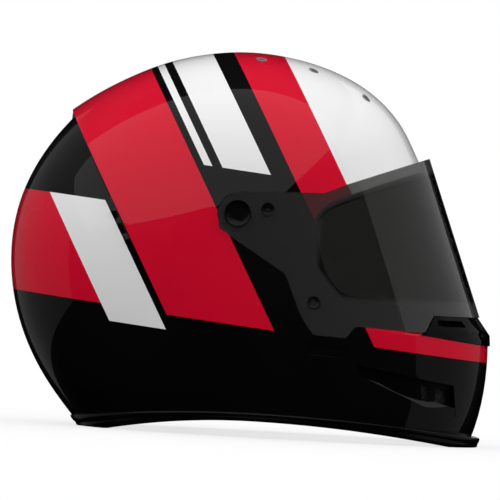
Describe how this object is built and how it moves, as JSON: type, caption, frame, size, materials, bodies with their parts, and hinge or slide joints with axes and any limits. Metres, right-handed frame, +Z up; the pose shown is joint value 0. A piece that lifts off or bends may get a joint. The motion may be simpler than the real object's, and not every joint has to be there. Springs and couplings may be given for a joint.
{
  "type": "full face helmet",
  "caption": "Full face helmet with a hinged tinted visor, chin vents, padded liner and a ring-buckled chin strap.",
  "frame": {"origin": "middle of the footprint, at the level of the lower edge that the helmet stands on", "axes": "+X towards the face, +Y towards the wearer's left, +Z up"},
  "size_m": [0.3467, 0.2602, 0.2743],
  "materials": {
    "shell_paint": "clear-coated paint in red, white and black bands",
    "trim_rubber": "satin black rubber",
    "gasket_rubber": "matt black rubber",
    "foam": "beaded black expanded foam",
    "pad_fabric": "black knitted mesh fabric",
    "neck_fabric": "black smooth woven fabric",
    "vent_plastic": "fine-grained black moulding",
    "mesh_metal": "dark expanded mesh",
    "grommet_metal": "grey anodised ring",
    "pivot_plastic": "black nylon",
    "cap_plastic": "black moulding",
    "hardware_steel": "zinc-plated steel",
    "visor_tint": "smoke-tinted polycarbonate",
    "post_plastic": "black moulding",
    "webbing": "black woven webbing",
    "tab_red": "red moulded tab",
    "ring_steel": "polished steel wire"
  },
  "bodies": {
    "helmet": {"outer_shell": "shell_paint", "edge_trim": "trim_rubber", "eyeport_gasket": "gasket_rubber", "crown_foam": "foam", "chin_foam": "foam", "crown_pad": "pad_fabric", "cheek_pad_right": "pad_fabric", "cheek_pad_left": "pad_fabric", "neck_roll": "neck_fabric", "chin_vent_housing": "vent_plastic", "chin_vent_mesh": "mesh_metal", "chin_gill_right": "vent_plastic", "chin_gill_left": "vent_plastic", "vent_grommets": "grommet_metal", "pivot_base_right": "pivot_plastic", "pivot_base_left": "pivot_plastic", "pivot_cap_right": "cap_plastic", "pivot_cap_left": "cap_plastic", "pivot_screws": "hardware_steel", "pivot_nuts": "hardware_steel", "detent_plungers": "hardware_steel", "strap_right": "webbing", "strap_left": "webbing", "strap_anchors": "hardware_steel", "strap_rivets": "hardware_steel", "strap_end_tab": "tab_red"},
    "visor": {"visor": "visor_tint", "visor_cam_right": "pivot_plastic", "visor_cam_left": "pivot_plastic", "visor_studs": "cap_plastic", "visor_posts": "post_plastic"},
    "strap_ring_outer": {"strap_ring_outer": "ring_steel"},
    "strap_ring_inner": {"strap_ring_inner": "ring_steel"}
  },
  "joints": [
    {"name": "visor_hinge", "type": "hinge", "parent": "helmet", "child": "visor", "pos_m": [-0.0118, 0, 0.1577], "axis": [0, -1, 0], "range_deg": [0, 52]},
    {"name": "ring_outer_swing", "type": "hinge", "parent": "helmet", "child": "strap_ring_outer", "pos_m": [-0.0208, 0.084, 0.0447], "axis": [1, 0, 0], "range_deg": [0, 35]},
    {"name": "ring_inner_swing", "type": "hinge", "parent": "helmet", "child": "strap_ring_inner", "pos_m": [-0.0208, 0.0794, 0.0447], "axis": [1, 0, 0], "range_deg": [-35, 0]}
  ]
}
